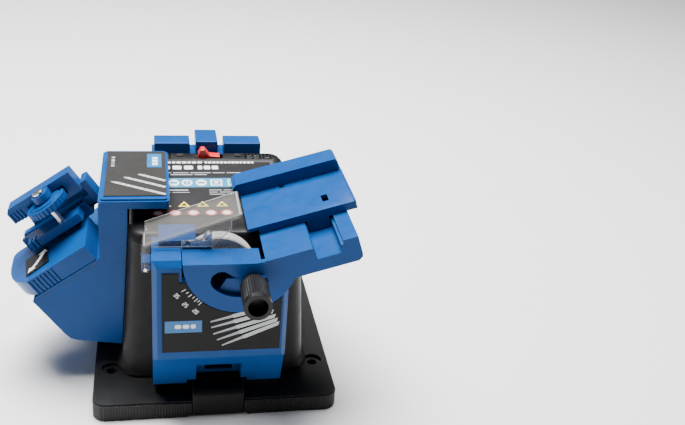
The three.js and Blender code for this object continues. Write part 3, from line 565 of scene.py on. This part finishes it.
def arrow_head(angle, way):
    """A triangle at an angle on the arrow's circle, pointing along it."""
    a = math.radians(angle)
    x, y = ARROW[0] + ARROW[2] * math.cos(a), ARROW[1] + ARROW[2] * math.sin(a)
    tx, ty = -math.sin(a) * way, math.cos(a) * way
    return [(x + tx * 5.2, y + ty * 5.2), (x - ty * 3.9, y + tx * 3.9), (x + ty * 3.9, y - tx * 3.9)]


swing_piece("turn_arrow_heads", [arrow_head(-40.5, -1), arrow_head(-11.5, 1)], WHITE, 0.8, 0.12)

# ---- small mouldings ----
prisms("drill_parting_line", plane_at((0, -43.05, 0), (1, 0, 0), (0, 0, 1)),
       [stroke(-120.2, 63.2, -78.4, 91.8, 0.5)], 0.06, "drill_attachment", SEAM)
for side, x in (("left", -20.9), ("right", 22.4)):
    prisms("top_dimple_" + side, ROOF, [ellipse(x, 87.6, 2.6, 2.0)], 0.1, "tower", KNOB, 0.15)

# upright rails on the left wall of the tower, inside the open side of the drill attachment
RAIL = [(-62.4, 32), (-64.3, 32), (-59.0, 118.6), (-57.0, 118.6)]
for end, y in (("front", -36.9), ("rear", 39.6)):
    prisms("guide_rail_" + end, plane_at((0, y, 0), (1, 0, 0), (0, 0, 1)), [RAIL], 2.2, "tower", BLACK,
           0.0, 0.2)

RISE = math.tan(math.radians(19.4))
# The hood's wall base flange, rib edges and lid edge as pale opaque strips: real edges of the clear hood, whose
# brightness is painted highlight.
HOOD_FRONT = plane_at((0, -80.95, 0), (1, 0, 0), (0, 0, 1))
HOOD_HIGHLIGHT_LINES = [stroke(-41, 122.9, -4.6, 122.9, 0.8), stroke(-47.6, 123.9, 13.6, 123.9 + 61.2 * RISE, 0.5),
              stroke(-4.2, 122.8, 0.2, 128.2, 0.5), stroke(0.2, 128.2, 7.4, 135.0, 0.5),
              stroke(7.2, 135.0, 7.2, 141.4, 0.5)]
prisms("hood_highlight_rim", HOOD_FRONT, HOOD_HIGHLIGHT_LINES, 0.25, "hood", HIGHLIGHT_RIM, 0.0, 0.08)
LID = plane_at((-45, 0, 124.05), (1, 0, RISE), (0, 1, 0))
prisms("hood_lid_highlight_rim", LID, [rectangle(60.6, 61.9, -80.2, -44.6), rectangle(-2.0, 61.0, -45.4, -44.4),
                             rectangle(-2.4, -1.6, -79.0, -62.6)], 0.2, "hood", HIGHLIGHT_RIM, 0.0, 0.06)

def area_light(name, location, target, size, power):
    data = bpy.data.lights.new(name, "AREA")
    data.energy = power
    data.shape = "RECTANGLE"
    data.size = size
    data.size_y = size
    obj = bpy.data.objects.new(name, data)
    bpy.context.scene.collection.objects.link(obj)
    obj.location = location
    obj.rotation_mode = "QUATERNION"
    obj.rotation_quaternion = (Vector(target) - Vector(location)).to_track_quat("-Z", "Y")


def floor():
    """A pale sweep: flat under the object, curving up far behind it."""
    work = bmesh.new()
    rows = []
    for i in range(25):
        t = i / 24
        if t < 0.5:
            y, z = -6 + 12 * t * 1.4, 0.0
        else:
            a = (t - 0.5) * math.pi
            y, z = 2.4 + 3.0 * math.sin(a), 3.0 * (1 - math.cos(a))
        rows.append([work.verts.new((x, y, z - 0.0002)) for x in (-9, 9)])
    for a, b in zip(rows, rows[1:]):
        work.faces.new([a[0], a[1], b[1], b[0]])
    mesh = bpy.data.meshes.new("floor")
    work.to_mesh(mesh)
    work.free()
    obj = bpy.data.objects.new("floor", mesh)
    bpy.context.scene.collection.objects.link(obj)
    pale = Surface("floor_pale", (0.80, 0.80, 0.80), 0.7)
    pale.tint(pale.ranged(pale.noise(3.0, 2.0), 0.0, 1.0), (0.78, 0.78, 0.78), 0.5)
    obj.data.materials.append(pale.material)
    for face in obj.data.polygons:
        face.use_smooth = True


floor()
world = bpy.data.worlds.new("studio")
bpy.context.scene.world = world
world.use_nodes = True
world.node_tree.nodes["Background"].inputs["Color"].default_value = (0.95, 0.97, 1.0, 1)
world.node_tree.nodes["Background"].inputs["Strength"].default_value = 0.10
area_light("key_top", (-0.15, 0.35, 1.5), (0, 0.03, 0.08), 1.1, 115)
area_light("fill_left", (-1.1, -0.7, 0.7), (0, 0, 0.08), 0.4, 1.5)
area_light("rim_right", (1.2, 0.0, 0.5), (0, 0, 0.08), 0.3, 1.5)

AZIMUTH, ELEVATION, ROLL = math.radians(-12.87), math.radians(25.21), math.radians(4.87)
forward = Vector((-math.sin(AZIMUTH) * math.cos(ELEVATION), math.cos(AZIMUTH) * math.cos(ELEVATION),
                  -math.sin(ELEVATION)))
level = Vector((math.cos(AZIMUTH), math.sin(AZIMUTH), 0))
upright = level.cross(forward)
right = level * math.cos(ROLL) + upright * math.sin(ROLL)
up = upright * math.cos(ROLL) - level * math.sin(ROLL)
camera = bpy.data.objects.new("camera", bpy.data.cameras.new("camera"))
bpy.context.scene.collection.objects.link(camera)
camera.data.sensor_width = 36
camera.data.lens = 911.22 / 685 * 36
pose = Matrix((right, up, -forward)).transposed().to_4x4()
pose.translation = Vector((-0.0400, -0.5976, 0.3952))
camera.matrix_world = pose
bpy.context.scene.camera = camera
